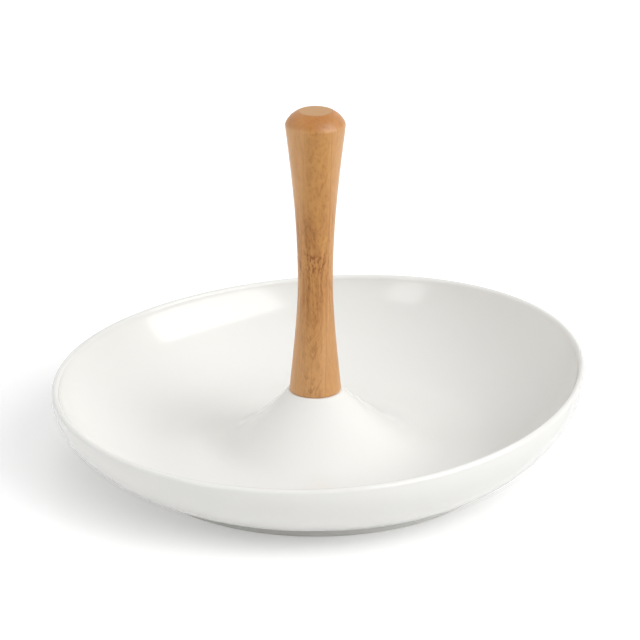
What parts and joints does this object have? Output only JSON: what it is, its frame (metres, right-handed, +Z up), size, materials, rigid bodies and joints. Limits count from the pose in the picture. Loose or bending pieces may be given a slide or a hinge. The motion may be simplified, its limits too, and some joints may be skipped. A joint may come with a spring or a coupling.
{
  "type": "tapas serving dish",
  "caption": "Round white porcelain serving dish on a foot ring, its rim swept up on one side, with a turned bamboo handle screwed onto a hollow cone in the middle.",
  "frame": {"origin": "on the dish's axis, at the level that the foot ring stands on", "axes": "+Z up along the handle; +X towards the side where the rim is highest"},
  "size_m": [0.2807, 0.2792, 0.193],
  "materials": {
    "porcelain": "glossy clear glaze over white porcelain",
    "bamboo": "turned laminated bamboo, oiled, with fine fibres along the handle",
    "stainless": "plain stainless steel",
    "brass": "machined brass",
    "silicone": "matt milky silicone"
  },
  "bodies": {
    "dish": {"dish": "porcelain", "silicone_washer": "silicone", "flat_washer": "stainless", "screw": "stainless"},
    "seal": {"seal_ring": "silicone"},
    "handle": {"handle": "bamboo", "thread_insert": "brass"}
  },
  "joints": [
    {"name": "handle_lift", "type": "slide", "parent": "dish", "child": "seal", "axis": [0, 0, 1], "range_m": [0, 0.016]},
    {"name": "handle_turn", "type": "hinge", "parent": "seal", "child": "handle", "pos_m": [0, 0, 0.0392], "axis": [0, 0, 1], "range_deg": [0, 5760]}
  ],
  "couplings": [
    {"joint": "handle_lift", "follows": "handle_turn", "m_per_rad": 0.00015915}
  ]
}
